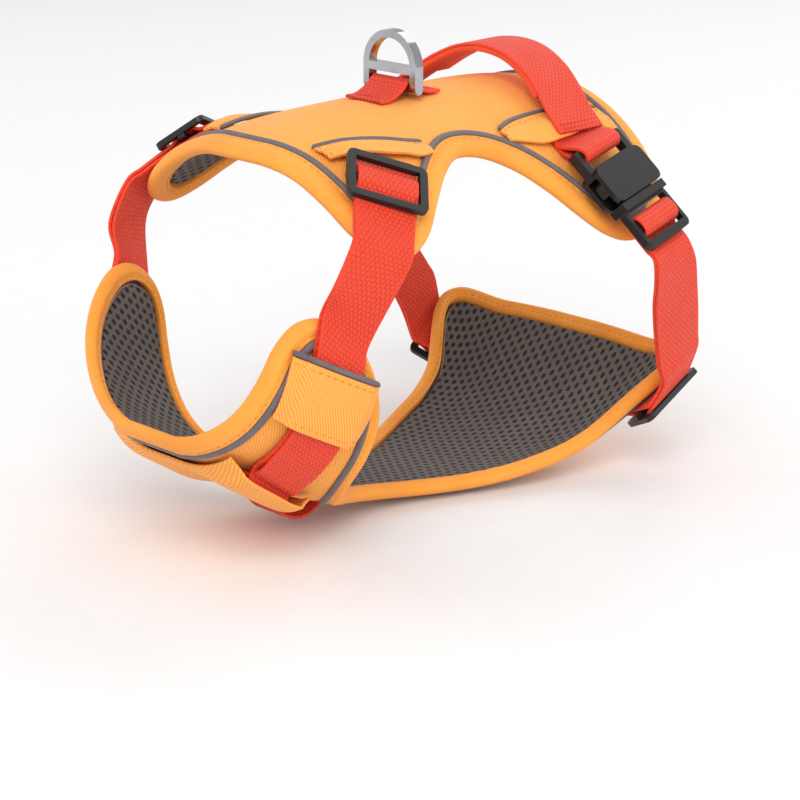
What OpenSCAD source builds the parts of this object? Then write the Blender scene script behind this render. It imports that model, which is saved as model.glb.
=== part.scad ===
// No-pull dog harness in its worn shape, seen as it hangs on a dog standing level.
// Frame: millimetres, +Z up, the dog faces -Y, its left side is +X, and the mirror plane is X = 0.
// Each pad is drawn flat as a pattern (u across, v along) and wrapped on curved ribs.

/* [Webbing] */
// Width of every load-bearing strap
web_w = 25; // [20:1:26]
// Thickness of a strap
web_t = 1.3; // [1:0.1:1.6]
// Width of the leash loop on the chest
loop_w = 18; // [14:1:20]

/* [Pads] */
// Thickness of a padded panel, lining to shell
pad_t = 4.6; // [4:0.2:5]
// Distance of the piping from the outer edge of the back pad
back_rim = 10; // [9:0.5:11]
// Distance of the piping from the outer edge of the chest pad
chest_rim = 7.5; // [7:0.5:9]
// Thickness of the binding where it is fullest
binding_t = 6.4; // [6:0.2:6.8]
// Diameter of the reflective piping bead
piping_d = 2.2; // [2:0.1:2.4]
// Thickness of flaps, keepers and the chest strip
flap_t = 1.2; // [0.8:0.1:1.4]

/* [Hardware] */
// Outer width of the strap sliders
slider_w = 33; // [32:0.5:35]
// Outer length of the strap sliders
slider_l = 23; // [22:0.5:25]
// Outer width of the buckles
buckle_w = 33; // [32:0.5:34]
// Outer width of the leash D-ring
ring_w = 30; // [29:0.5:34]
// Height of the leash D-ring above the middle of its lower bar
ring_h = 23.5; // [23:0.5:28]

/* [Hidden] */

LEFT = 1;
RIGHT = -1;
fabric_orange = [0.98, 0.66, 0.30];
web_red = [0.93, 0.27, 0.13];
reflective_grey = [0.44, 0.42, 0.41];
mesh_grey = [0.33, 0.31, 0.29];
foam_cream = [0.90, 0.87, 0.78];
plastic_black = [0.10, 0.10, 0.11];
polished_metal = [0.80, 0.80, 0.82];

// Ribs of the back pad: v, centre y, centre z, lean in degrees, flat half width, bend radius.
BACK_RIBS = [[-100, -100, 60, 0, 0, 84], [-60, -60, 67, 0, 0, 80], [0, 0, 69, 0, 0, 76],
    [60, 60, 69, 0, 0, 74], [110, 110, 61, 0, 0, 74]];
// Ribs of the chest and belly pad, from the front of the neck to the belly.
CHEST_RIBS = [[-20, -146, -36, 4, 6, 38], [0, -130, -47, 6, 8, 43], [50, -86, -73, 8, 12, 50],
    [90, -48, -86, 5, 16, 60], [130, -8, -92, 2, 15, 80], [180, 42, -93, 0, 15, 75],
    [216, 76, -83, -6, 30, 34], [258, 110, -52, -5, 38, 60], [278, 126, -38, -5, 38, 60]];
BACK = [BACK_RIBS, -1, back_rim];
CHEST = [CHEST_RIBS, 1, chest_rim];

// Outer edge of each pad in the flat, left half, from the front to the rear.
BACK_EDGE = [[14, -92], [30, -89], [48, -87.5], [65, -85], [78, -78], [84, -66], [79, -52], [66, -38],
    [55, -25], [49, -13], [51, -1], [60, 11], [73, 23], [86, 35], [96, 48], [100, 62], [96, 76],
    [84, 86], [66, 91], [46, 92], [26, 92.5], [12, 93]];
CHEST_EDGE = [[14, -8.5], [32, -6.5], [51, -2.5], [71, 2.5], [86.5, 8], [99.5, 16.5], [107, 28.5],
    [106.5, 41], [98.5, 50.5], [84, 56], [67, 58], [53, 60], [40.5, 65.5], [29, 74.5], [21.5, 89],
    [19.5, 104], [22.5, 120.5], [30.5, 141], [39.5, 161], [46.5, 179], [52, 197], [58, 213], [66.5, 225],
    [73, 236], [74.5, 246.5], [69, 255.5], [59, 260], [44, 262], [28, 263], [12, 263.5]];

edge_steps = 2;
across_steps = 8;
groove = 1.25;
top_h = pad_t / 2;
skin_t = 0.8;
skin_gap = 0.15;
under_web_h = 4.3;
over_web_h = 6.0;

function unit(p) = p / norm(p);

// Smooth curve value between rows a and b, with their neighbours z and c, at t from 0 to 1.
function blend4(z, a, b, c, t) =
    let (m = (b - z) / 2, n = (c - a) / 2, s = t * t)
    a * (2 * s * t - 3 * s + 1) + m * (s * t - 2 * s + t) + b * (3 * s - 2 * s * t) + n * (s * t - s);

// Smooth curve through a list of points, with a given number of steps between two of them.
function curve(points, steps) =
    let (last = len(points) - 1)
    [for (i = [0:last - 1], k = [0:steps - 1])
        blend4(points[max(i - 1, 0)], points[i], points[i + 1], points[min(i + 2, last)], k / steps),
        points[last]];

// Index of the table row at or below v, and the slope of the table at a row.
function row_below(rows, v, i = 0) = i >= len(rows) - 2 || v < rows[i + 1][0] ? i : row_below(rows, v, i + 1);
function slope(rows, i) =
    let (a = max(i - 1, 0), b = min(i + 1, len(rows) - 1))
    (rows[b] - rows[a]) / (rows[b][0] - rows[a][0]);

// One rib of a pad at v: [v, y, z, lean, flat half width, bend radius].
function rib(rows, v) =
    let (i = row_below(rows, v), a = rows[i], b = rows[i + 1], h = b[0] - a[0], t = (v - a[0]) / h, s = t * t)
    a * (2 * s * t - 3 * s + 1) + slope(rows, i) * h * (s * t - 2 * s + t)
        + b * (3 * s - 2 * s * t) + slope(rows, i + 1) * h * (s * t - s);

// Point of a pad at pattern place (u, v) and height h above its middle layer, outwards.
function wrap(pad, u, v, h) =
    let (
        r = rib(pad[0], v),
        side = u < 0 ? -1 : 1,
        past = max(abs(u) - r[4], 0),
        turn = min(past / r[5] * 180 / PI, 90),
        straight = max(past - r[5] * PI / 2, 0),
        x = min(abs(u), r[4]) + r[5] * sin(turn),
        rise = r[5] * (1 - cos(turn)) + straight,
        lean = [0, sin(r[3]), cos(r[3]) * pad[1]]
    )
    [side * x, r[1], r[2]] + lean * rise + ([side * sin(turn), 0, 0] - lean * cos(turn)) * h;

// Sideways shift of a flat outline by a distance to its inner side.
function inset(points, d) =
    [for (i = [0:len(points) - 1])
        let (a = points[max(i - 1, 0)], b = points[min(i + 1, len(points) - 1)], t = unit(b - a))
        points[i] + d * [-t[1], t[0]]];

// Right half added to a left half outline, all the way round.
function both_halves(points) =
    concat(points, [for (i = [len(points) - 1:-1:0]) [-points[i][0], points[i][1]]]);

function fine_edge(pad) = curve(pad == BACK ? BACK_EDGE : CHEST_EDGE, edge_steps);

// Faces of a block of rings of equal length: sides, then the two end caps.
function ring_faces(rings, count, closed) =
    let (joins = closed ? rings : rings - 1)
    concat(
        [for (i = [0:joins - 1], k = [0:count - 1])
            let (a = i * count, b = ((i + 1) % rings) * count, n = (k + 1) % count)
            [a + k, b + k, b + n]],
        [for (i = [0:joins - 1], k = [0:count - 1])
            let (a = i * count, b = ((i + 1) % rings) * count, n = (k + 1) % count)
            [a + k, b + n, a + n]],
        closed ? [] : [[for (k = [0:count - 1]) k], [for (k = [count - 1:-1:0]) (rings - 1) * count + k]]);

function flat_list(lists) = [for (l = lists) for (p = l) p];

// A solid swept through a list of rings of points.
module swept(rings, closed = false) {
    polyhedron(points = flat_list(rings), faces = ring_faces(len(rings), len(rings[0]), closed));
}

// A closed slab between two grids of points, each a list of rows of equal length.
module slab(low, high, flip = false) {
    n = len(low[0]);
    count = 2 * n;
    last = len(low) - 1;
    rings = [for (i = [0:last]) concat(low[i], [for (k = [n - 1:-1:0]) high[i][k]])];
    cap = [for (k = [0:n - 2]) each [[k, k + 1, count - 2 - k], [k, count - 2 - k, count - 1 - k]]];
    faces = concat(
        [for (i = [0:last - 1], k = [0:count - 1])
            let (a = i * count, b = a + count, m = (k + 1) % count)
            each k < n ? [[a + k, b + k, b + m], [a + k, b + m, a + m]]
                : [[a + k, b + k, a + m], [b + k, b + m, a + m]]],
        cap,
        [for (c = cap) [c[0] + last * count, c[2] + last * count, c[1] + last * count]]);
    polyhedron(points = flat_list(rings), faces = flip ? [for (f = faces) [f[2], f[1], f[0]]] : faces);
}

// One layer of a pad inside its rim, between two heights.
module layer(pad, low, high) {
    half = inset(fine_edge(pad), pad[2] + groove);
    steps = [for (k = [0:across_steps]) 2 * k / across_steps - 1];
    slab([for (p = half) [for (s = steps) wrap(pad, s * p[0], p[1], low)]],
        [for (p = half) [for (s = steps) wrap(pad, s * p[0], p[1], high)]], pad[1] < 0);
}

// A piece of cloth on a pad: rows of [u, v, height of its middle], made flap_t thick.
module patch(pad, rows) {
    slab([for (r = rows) [for (p = r) wrap(pad, p[0], p[1], p[2] - flap_t / 2)]],
        [for (r = rows) [for (p = r) wrap(pad, p[0], p[1], p[2] + flap_t / 2)]], pad[1] < 0);
}

// A bead of piping along a route of [u, v, height] on a pad.
module bead(pad, route, r) {
    line = curve(route, 3);
    last = len(line) - 1;
    rings = [for (i = [0:last])
        let (
            a = line[max(i - 1, 0)], b = line[min(i + 1, last)],
            t = unit([b[0] - a[0], b[1] - a[1]]), p = line[i]
        )
        [wrap(pad, p[0] - t[1] * r, p[1] + t[0] * r, p[2]), wrap(pad, p[0], p[1], p[2] + r),
            wrap(pad, p[0] + t[1] * r, p[1] - t[0] * r, p[2]), wrap(pad, p[0], p[1], p[2] - r)]];
    swept(pad[1] < 0 ? rings : [for (r = rings) [r[3], r[2], r[1], r[0]]]);
}

// A closed band round a pad: each section point is [distance in from the outer edge, height].
module rim(pad, section) {
    outer = fine_edge(pad);
    lines = [for (s = section) both_halves(inset(outer, s[0]))];
    rings = [for (i = [0:2 * len(outer) - 1]) [for (k = [0:len(section) - 1])
        wrap(pad, lines[k][i][0], lines[k][i][1], section[k][1])]];
    if (pad[1] > 0) swept(rings, true);
    else swept([for (r = rings) [for (k = [len(r) - 1:-1:0]) r[k]]], true);
}

// Edges of a strap on a pad: route points are [u, v, height], its width lies along `across`.
function laid(pad, route, across, width = web_w) =
    let (off = unit(across) * width / 2)
    [for (p = route)
        let (
            a = wrap(pad, p[0] + off[0], p[1] + off[1], p[2]),
            b = wrap(pad, p[0] - off[0], p[1] - off[1], p[2])
        )
        pair(wrap(pad, p[0], p[1], p[2]), a - b, width)];

// Edges of a strap off the pads, from the middle of its width and the direction of its width.
function pair(middle, across, width = web_w) =
    [middle + unit(across) * width / 2, middle - unit(across) * width / 2];

// A strap through pairs of edge points, smooth between them.
module ribbon(pairs, thick, steps = 2) {
    one = curve([for (p = pairs) p[0]], steps);
    two = curve([for (p = pairs) p[1]], steps);
    last = len(one) - 1;
    rings = [for (i = [0:last])
        let (
            a = max(i - 1, 0), b = min(i + 1, last),
            n = unit(cross(two[i] - one[i], one[b] + two[b] - one[a] - two[a])) * thick / 2
        )
        [one[i] - n, one[i] + n, two[i] + n, two[i] - n]];
    swept(rings);
}

// Axes of a fitting from its width direction and roughly its length: length, width, outwards.
function axes(along, across) =
    let (w = unit(across), a = unit(along - (along * w) * w))
    [a, w, cross(a, w)];

// Point in a fitting's frame, x along it and z outwards.
function spot(place, frame, x, z) = place + x * frame[0] + z * frame[2];

module seat(place, frame) {
    multmatrix([for (i = [0:2]) [frame[0][i], frame[1][i], frame[2][i], place[i]]]) children();
}

module on_side(side) {
    if (side > 0) children();
    else mirror([1, 0, 0]) children();
}

// A flat rectangle with round corners, made of plain squares and circles.
module round_plate(l, w, r) {
    square([l - 2 * r, w], center = true);
    square([l, w - 2 * r], center = true);
    for (x = [-1, 1], y = [-1, 1]) translate([x * (l / 2 - r), y * (w / 2 - r)]) circle(r, $fn = 32);
}

// Pads -------------------------------------------------------------------------------------------

shell_low = top_h - skin_t;
foam_low = -top_h + skin_t + skin_gap;

module pad_shell(pad) { color(fabric_orange) layer(pad, shell_low, top_h); }
module pad_foam(pad) { color(foam_cream) layer(pad, foam_low, shell_low - skin_gap); }
module pad_lining(pad) { color(mesh_grey) layer(pad, -top_h, foam_low - skin_gap); }

// Folded binding: flat where it meets the piping, round at the outer edge.
module pad_binding(pad) {
    t = binding_t / 2;
    inner = pad[2] - groove;
    color(fabric_orange) rim(pad, [[inner, -t + 0.5], [3, -t], [0.6, -t * 0.6], [0.6, t * 0.6], [3, t],
        [inner, t - 0.5]]);
}

// Piping: a bead proud of the pad with the flange that is sewn between shell and binding.
module pad_piping(pad) {
    r = piping_d / 2;
    w = pad[2];
    color(reflective_grey) rim(pad, [[w + 0.6, -top_h], [w - 0.6, -top_h], [w - r, top_h + 0.2],
        [w, top_h + 0.2 + r], [w + r, top_h + 0.2]]);
}

module back_shell() { pad_shell(BACK); }
module back_foam() { pad_foam(BACK); }
module back_lining() { pad_lining(BACK); }
module back_binding() { pad_binding(BACK); }
module back_piping() { pad_piping(BACK); }
module chest_shell() { pad_shell(CHEST); }
module chest_foam() { pad_foam(CHEST); }
module chest_lining() { pad_lining(CHEST); }
module chest_binding() { pad_binding(CHEST); }
module chest_piping() { pad_piping(CHEST); }

// Flaps, keepers and the chest strip ---------------------------------------------------------------

// Flap rows from [v, u of the inner edge, lift, width]: inner edge, lifted middle, free outer edge.
function flap_rows(lines, rise) =
    [for (p = lines)
        [for (k = [[0, 3.2, 0], [0.25, 3.6, 1], [0.5, 4.3, rise], [0.8, 4.4, rise], [1, 4.4, rise * 1.3]])
            [p[1] + p[3] * k[0], p[0], k[1] + p[2] * k[2]]]];

// Flap over the sewn end of a shoulder strap, and flap over the sewn end of a buckle tab.
SHOULDER_FLAP = flap_rows([[-74, 27, 0.2, 9], [-68, 28, 1, 10], [-60, 29.5, 1.5, 11], [-50, 32.5, 1, 11],
    [-42, 35.5, 0.7, 10], [-35, 38.5, 0.2, 9], [-28, 41, 0, 6]], 1.3);
GIRTH_FLAP = flap_rows([[14, 43.5, 0, 6], [22, 41, 0, 11], [30, 40, 0.2, 14.5], [38, 39.5, 1, 15.5],
    [50, 39, 1, 14.5], [62, 39, 1, 11.5], [70, 39, 0.2, 12.5], [78, 39.5, 0, 13]], 1.9);
// Keeper across a chest lobe, bridging the doubled shoulder strap.
KEEPER = [for (p = [[60, 8, 46], [67, 9, 47.5], [74, 10, 49], [80, 11, 50], [85, 12, 51]])
    let (w = p[2] - p[1])
    [for (k = [[0, 4.4], [0.09, 5.6], [0.17, 8], [0.5, 8.2], [0.83, 8], [0.91, 5.6], [1, 4.4]])
        [p[0] + 7.5 * k[0], p[1] + w * k[0], k[1]]]];

module shoulder_flap(side) { color(fabric_orange) on_side(side) patch(BACK, SHOULDER_FLAP); }
module girth_flap(side) { color(fabric_orange) on_side(side) patch(BACK, GIRTH_FLAP); }
module keeper(side) {
    color(fabric_orange) on_side(side) patch(CHEST, [for (k = [0:6]) [for (r = KEEPER) r[k]]]);
}

module flap_piping() {
    color(reflective_grey) for (side = [RIGHT, LEFT]) on_side(side) {
        bead(BACK, [for (r = SHOULDER_FLAP) [r[0][0] - 1.2, r[0][1], 3.5]], 0.8);
        bead(BACK, [for (r = GIRTH_FLAP) [r[0][0] - 1.2, r[0][1], 3.5]], 0.8);
    }
}

module keeper_piping() {
    top = KEEPER[4];
    color(reflective_grey) for (side = [RIGHT, LEFT]) on_side(side)
        bead(CHEST, [for (p = top) [p[0] + 1.4, p[1], p[2]]], 1.1);
}

// Strip across the middle of the chest that covers both rings and strap ends.
STRIP = [[-35, 10.9], [-31, 11], [-27, 10.6], [-21, 8.8], [-15, 6.6], [-10, 5.4], [0, 5.1], [10, 5.4],
    [15, 6.6], [21, 8.8], [27, 10.6], [31, 11], [35, 10.9]];

module chest_strip() {
    rows = [for (v = [[4, 0], [8, 0.5], [12.5, 1], [27, 1], [41.5, 1], [46, 0.5], [50, 0]])
        [for (p = STRIP) [p[0], v[0], 4.7 + (p[1] - 4.7) * v[1]]]];
    color(fabric_orange) patch(CHEST, rows);
}

// Places of the fittings that straps turn round --------------------------------------------------

// Middle of the belly slider.
GIRTH_SEAT = wrap(CHEST, 62, 237, 0);
GIRTH_AXES = axes(wrap(CHEST, 61, 237, 0) - GIRTH_SEAT, wrap(CHEST, 62, 249, 0) - wrap(CHEST, 62, 225, 0));

// Middle of the wire ring on the chest, and half the distance between its two long bars.
WIRE_OUTER = wrap(CHEST, 30.2, 27, 6.3);
WIRE_INNER = wrap(CHEST, 17, 27, 4.3);
WIRE_SEAT = (WIRE_OUTER + WIRE_INNER) / 2;
WIRE_AXES = axes(WIRE_OUTER - WIRE_INNER, wrap(CHEST, 30.2, 39.5, 6.3) - wrap(CHEST, 30.2, 14.5, 6.3));
WIRE_LONG = norm(WIRE_OUTER - WIRE_INNER) / 2;

// Web bar of the buckle's socket, with the buckle's length, width and outward directions.
BUCKLE = [64, 50, 50];
BUCKLE_ALONG = unit([0.66, 0.22, -0.718]);
BUCKLE_AXES = axes(BUCKLE_ALONG, [0, 1, 0] - BUCKLE_ALONG[1] * BUCKLE_ALONG);

// Straps -------------------------------------------------------------------------------------------

// Edges of a strap through points [x, z] in a fitting's frame.
function threaded(place, frame, points) =
    [for (p = points) pair(spot(place, frame, p[0], p[1]), frame[1])];

// Shoulder strap: sewn under its flap, down inside the keeper, round the chest ring and back up
// on the outside to the slider, whose middle bar it passes over.
module shoulder_strap(side) {
    u = under_web_h;
    o = over_web_h;
    down_back = laid(BACK, [[43, -53, u - 0.3], [46.5, -55.7, u - 0.1], [50, -58.5, u], [57, -63.8, u],
        [65, -70, u], [72, -75.5, u], [78, -80.2, u]], [0.61, 0.79]);
    in_chest = laid(CHEST, [[107, 33, u], [98, 32, u], [88, 31, u], [76, 29.5, u], [64, 28.5, u],
        [52, 27.5, u], [43, 27, u], [36.5, 27, u - 0.1]], [-0.1, 1]);
    bend = threaded(WIRE_SEAT, WIRE_AXES, [for (p = [[2, -2.45], [0, -2.2], [-1.65, -1.55], [-2.25, 0],
        [-1.65, 1.5], [0, 2], [2.2, 1.5]]) [WIRE_LONG + p[0], p[1]]]);
    out_chest = laid(CHEST, [[38, 27, 7], [44, 27, 6.2], [52, 27.5, o], [64, 28.5, o], [76, 29.5, o],
        [88, 31, o], [98, 32, o], [107, 33, o]], [-0.1, 1]);
    up_back = laid(BACK, [[78, -80.2, o], [72, -75.5, o], [66, -70.8, o], [62.4, -68, o],
        [60.6, -66.6, o + 0.35], [58.5, -65, 8], [56, -63, 8.2], [53.5, -61, 8], [51.4, -59.4, o + 0.35],
        [49.8, -58.2, o],
        [48, -56.8, o]], [0.61, 0.79]);
    color(web_red) on_side(side) ribbon(concat(down_back, [pair([69.2, -87.6, 19.5], [0.33, 0.91, -0.25])],
        in_chest, bend, out_chest, [pair([70.9, -88.3, 19.8], [0.33, 0.91, -0.25])], up_back), web_t);
}

// Girth strap: sewn to the belly lobe, up under the slider, round the plug's middle bar and back
// down on the outside, over the slider's middle bar.
GIRTH_LINE = [[[93, 66, 2], [-0.02, 0.96, 0.28], [0.98, 0.1, 0.05]],
    [[89, 71.5, -10], [0.1, 0.92, 0.38], [0.96, 0.02, -0.25]],
    [[83.5, 80, -26], [0.12, 0.9, 0.42], [0.94, 0.02, -0.34]],
    [[79.5, 86.5, -39.5], [0.08, 0.88, 0.48], [0.92, 0.1, -0.4]],
    [[77.8, 90.2, -47.5], [0.04, 0.83, 0.56], [0.86, 0.1, -0.5]]];

module girth_strap(side) {
    sewn = laid(CHEST, [[35, 238, 3.1], [42, 238, 3.1], [48, 238, 3.2]], [0, 1]);
    under = threaded(GIRTH_SEAT, GIRTH_AXES, [[8, 3.9], [4, 4.3], [0, 4.4], [-4, 4.4], [-8.5, 4.3],
        [-12, 3.7]]);
    up = [for (k = [4:-1:0]) pair(GIRTH_LINE[k][0] - 0.8 * GIRTH_LINE[k][2], GIRTH_LINE[k][1])];
    turn = threaded(BUCKLE, BUCKLE_AXES, [[50, -4.3], [45, -4.3], [38, -4.1], [34.6, -3.6], [32.2, -2.2],
        [31.6, 0], [32.5, 2], [34.6, 2.8], [36.3, 2.9], [38.2, 2.6], [39.7, 1.4], [40.3, -0.4], [40.9, -2],
        [42.4, -2.8], [45, -2.85], [50, -2.8]]);
    down = [for (k = [0:4]) pair(GIRTH_LINE[k][0] + 0.8 * GIRTH_LINE[k][2], GIRTH_LINE[k][1])];
    over = threaded(GIRTH_SEAT, GIRTH_AXES, [[-12, 5.3], [-9, 5.9], [-6.4, 6.6], [-3.8, 7.95], [0, 8.25],
        [3.8, 7.95], [6.4, 6.6], [9, 5.8], [14, 5]]);
    color(web_red) on_side(side) ribbon(concat(sewn, under, up, turn, down, over), web_t);
}

// Buckle tab: webbing sewn under its flap and folded round the socket's bar.
module buckle_tab(side) {
    first = laid(BACK, [[46.5, 50, 3.1], [49, 50, 3.1], [52, 49, 3.2]], [0, 1]);
    fold = threaded(BUCKLE, BUCKLE_AXES, [[-8.4, -6.1], [-4.2, -4.1], [-1.2, -3.3], [1.1, -2.35], [2.1, 0],
        [1.1, 2.35], [-1.2, 3.3], [-3.5, 2.3], [-5.5, 0.2], [-8, -2.7], [-9.8, -4.6], [-11.4, -5.9]]);
    last = laid(BACK, [[50.5, 49, 4.55], [48.5, 50, 4.5], [46.5, 50, 4.5]], [0, 1]);
    color(web_red) on_side(side) ribbon(concat(first, fold, last), web_t);
}

// Leash loop: webbing along the middle of the chest, sewn at both ends, hanging free between.
module leash_loop() {
    route = [[0, 38, 3.1], [0, 45, 3.1], [0, 51, 3.2], [0, 54.5, 4.4], [0, 58, 7.4], [0, 62.5, 10.6],
        [0, 68.5, 12], [0, 75, 11], [0, 80.5, 7.8], [0, 84, 4.8], [0, 87.5, 3.2], [0, 91, 3.1], [0, 98, 3.1]];
    color(web_red) ribbon(laid(CHEST, route, [-1, 0], loop_w), web_t);
}

// Handle over the back, webbing outside and a padded lining inside.
HANDLE = [[55.2, 50, 56.9], [51.9, 50.3, 59.8], [46, 51.8, 64.2], [37.8, 55, 70.5], [27.2, 58, 77.8],
    [14.2, 59.6, 83.7], [0, 60, 85.6]];

function handle_line(rows, drop) = concat(
    [for (p = rows) pair([p[0], p[1], p[2]] - drop * unit([p[0], 0, p[2] + 5]), [0.05, 1, 0])],
    [for (i = [len(rows) - 2:-1:0]) let (p = rows[i])
        pair([-p[0], p[1], p[2]] - drop * unit([-p[0], 0, p[2] + 5]), [-0.05, 1, 0])]);

module handle_webbing() { color(web_red) ribbon(handle_line(HANDLE, 0), web_t, 3); }
module handle_lining() {
    color(web_red) ribbon(handle_line([for (i = [3:6]) HANDLE[i]], 1.85), 2.2, 3);
}

// Tab that holds the D-ring's lower bar, sewn to the back in front of and behind it.
RING_PIVOT = [0, -4, 75];
ring_wall = 3.3;

module d_ring_tab() {
    wide = ring_w - 2 * ring_wall - 2.4;
    over = [for (p = [[-13, 72.9], [-9.6, 74.6], [-7.4, 76.2], [-6, 77.7], [-4, 78.3], [-2, 77.7],
        [-0.6, 76.2], [1.6, 74.6], [5, 72.9]]) pair([0, p[0], p[1]], [1, 0, 0], wide)];
    color(web_red) ribbon(concat(laid(BACK, [[0, -21, 3.1], [0, -16.5, 3.1]], [1, 0], wide), over,
        laid(BACK, [[0, 8.5, 3.1], [0, 13, 3.1]], [1, 0], wide)), web_t);
}

// Hardware -----------------------------------------------------------------------------------------

// D-ring: a D-shaped eye over a crossbar, on a round bar that turns in its tab.
module d_ring() {
    wall = ring_wall;
    depth = 4.6;
    half = ring_w / 2;
    high = ring_h - half;
    color(polished_metal) translate(RING_PIVOT) {
        rotate([90, 0, 0]) translate([0, 0, -depth / 2]) linear_extrude(depth) difference() {
            union() {
                translate([0, high]) circle(half, $fn = 96);
                translate([-half, 0]) square([ring_w, high]);
            }
            difference() {
                translate([0, high]) circle(half - wall, $fn = 96);
                translate([-half, -half]) square([ring_w, half + 9.4]);
            }
            translate([wall - half, -half]) square([ring_w - 2 * wall, half + 6]);
            translate([-half, -half]) square([ring_w, half]);
        }
        translate([-half, 0, 0]) rotate([0, 90, 0]) cylinder(r = 2.1, h = ring_w, $fn = 48);
    }
}

// Strap slider: outer bars above the strap, middle bar between its two layers.
module slider_shape() {
    window = web_w + 1.4;
    translate([0, 0, 7]) linear_extrude(2.3) difference() {
        round_plate(slider_l, slider_w, 3);
        square([slider_l - 6.4, window], center = true);
    }
    translate([-1.5, -slider_w / 2 + 0.4, 5.4]) cube([3, slider_w - 0.8, 1.8]);
}

module shoulder_slider(side) {
    place = wrap(BACK, 56, -63, 0);
    color(plastic_black) on_side(side)
        seat(place, axes(wrap(BACK, 57, -63.79, 0) - place, wrap(BACK, 56.61, -62.21, 0) - place))
            slider_shape();
}

module girth_slider(side) { color(plastic_black) on_side(side) seat(GIRTH_SEAT, GIRTH_AXES) slider_shape(); }

// Rectangular wire ring under the chest strip, turned back on by the shoulder strap.
module chest_ring(side) {
    r = 1.2;
    wide = 14.2;
    turn = 3;
    long = WIRE_LONG;
    color(plastic_black) on_side(side) seat(WIRE_SEAT, WIRE_AXES) {
        for (s = [-1, 1]) {
            translate([s * long, turn - wide, 0]) rotate([-90, 0, 0])
                cylinder(r = r, h = 2 * (wide - turn), $fn = 32);
            translate([turn - long, s * wide, 0]) rotate([0, 90, 0])
                cylinder(r = r, h = 2 * (long - turn), $fn = 32);
        }
        for (k = [0:3]) rotate([0, 0, 90 * k])
            translate(k % 2 == 0 ? [long - turn, wide - turn, 0] : [wide - turn, long - turn, 0])
                rotate_extrude(angle = 90, $fn = 48) translate([turn, 0]) circle(r, $fn = 32);
    }
}

// Side-release buckle in its own frame: x from the socket's bar to the plug's end, y across, z out.
cavity_w = buckle_w - 6.2;

module at_buckle_frame(side) {
    on_side(side) seat(BUCKLE, BUCKLE_AXES) children();
}

// Socket: round web bar, then a hollow body open at its sides for the prongs.
module socket_shape() {
    difference() {
        union() {
            translate([15.4, 0, -5]) linear_extrude(10) round_plate(17.2, buckle_w, 3.5);
            translate([-3.4, -buckle_w / 2, -2.2]) cube([14, buckle_w, 4.4]);
        }
        translate([-1.2, -cavity_w / 2, -6]) cube([7, cavity_w, 12]);
        translate([8.2, -cavity_w / 2, -2.8]) cube([20, cavity_w, 5.6]);
        translate([10, -buckle_w, -2.8]) cube([20, 2 * buckle_w, 5.6]);
        translate([-6, -cavity_w / 2, -6]) cube([5, cavity_w, 12]);
    }
    translate([-1.2, -cavity_w / 2 - 1, 0]) rotate([-90, 0, 0]) cylinder(r = 2.2, h = cavity_w + 2, $fn = 32);
}

// Plug: shoulder that meets the socket, guide tongue, and two web slots.
module plug_shape() {
    w = buckle_w - 2;
    difference() {
        union() {
            translate([24.4, -w / 2, -4.2]) cube([3.6, w, 8.4]);
            translate([36.2, 0, -1.8]) linear_extrude(3.6) round_plate(20, w, 3);
            translate([12, -5.5, -2.2]) cube([13, 11, 4.4]);
        }
        translate([29.2, -cavity_w / 2, -3]) cube([5.4, cavity_w, 6]);
        translate([37.8, -cavity_w / 2, -3]) cube([4.9, cavity_w, 6]);
    }
}

// Prong with its barb in the socket's side, its living hinge next to the plug's shoulder.
PRONG = [[24.1, 7.9], [24.1, 10.7], [18.7, 11.6], [18.7, 15.6], [16.4, 16.2], [13, 15.4], [10.6, 12.8],
    [10.6, 10.6], [14, 10.4], [18, 9.4]];

module prong(side, end) {
    color(plastic_black) at_buckle_frame(side) translate([0, 0, -2.3]) linear_extrude(4.6)
        polygon([for (p = PRONG) [p[0], end * p[1]]]);
}

module buckle_socket(side) { color(plastic_black) at_buckle_frame(side) socket_shape(); }
module buckle_plug(side) { color(plastic_black) at_buckle_frame(side) plug_shape(); }

module shoulder_flap_left() { shoulder_flap(LEFT); }
module shoulder_flap_right() { shoulder_flap(RIGHT); }
module girth_flap_left() { girth_flap(LEFT); }
module girth_flap_right() { girth_flap(RIGHT); }
module keeper_left() { keeper(LEFT); }
module keeper_right() { keeper(RIGHT); }
module shoulder_strap_left() { shoulder_strap(LEFT); }
module shoulder_strap_right() { shoulder_strap(RIGHT); }
module girth_strap_left() { girth_strap(LEFT); }
module girth_strap_right() { girth_strap(RIGHT); }
module shoulder_slider_left() { shoulder_slider(LEFT); }
module shoulder_slider_right() { shoulder_slider(RIGHT); }
module girth_slider_left() { girth_slider(LEFT); }
module girth_slider_right() { girth_slider(RIGHT); }
module chest_ring_left() { chest_ring(LEFT); }
module chest_ring_right() { chest_ring(RIGHT); }
module buckle_socket_left() { buckle_socket(LEFT); }
module buckle_socket_right() { buckle_socket(RIGHT); }
module buckle_plug_left() { buckle_plug(LEFT); }
module buckle_plug_right() { buckle_plug(RIGHT); }
module buckle_tab_left() { buckle_tab(LEFT); }
module buckle_tab_right() { buckle_tab(RIGHT); }
module front_prong_left() { prong(LEFT, -1); }
module front_prong_right() { prong(RIGHT, -1); }
module rear_prong_left() { prong(LEFT, 1); }
module rear_prong_right() { prong(RIGHT, 1); }

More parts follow.
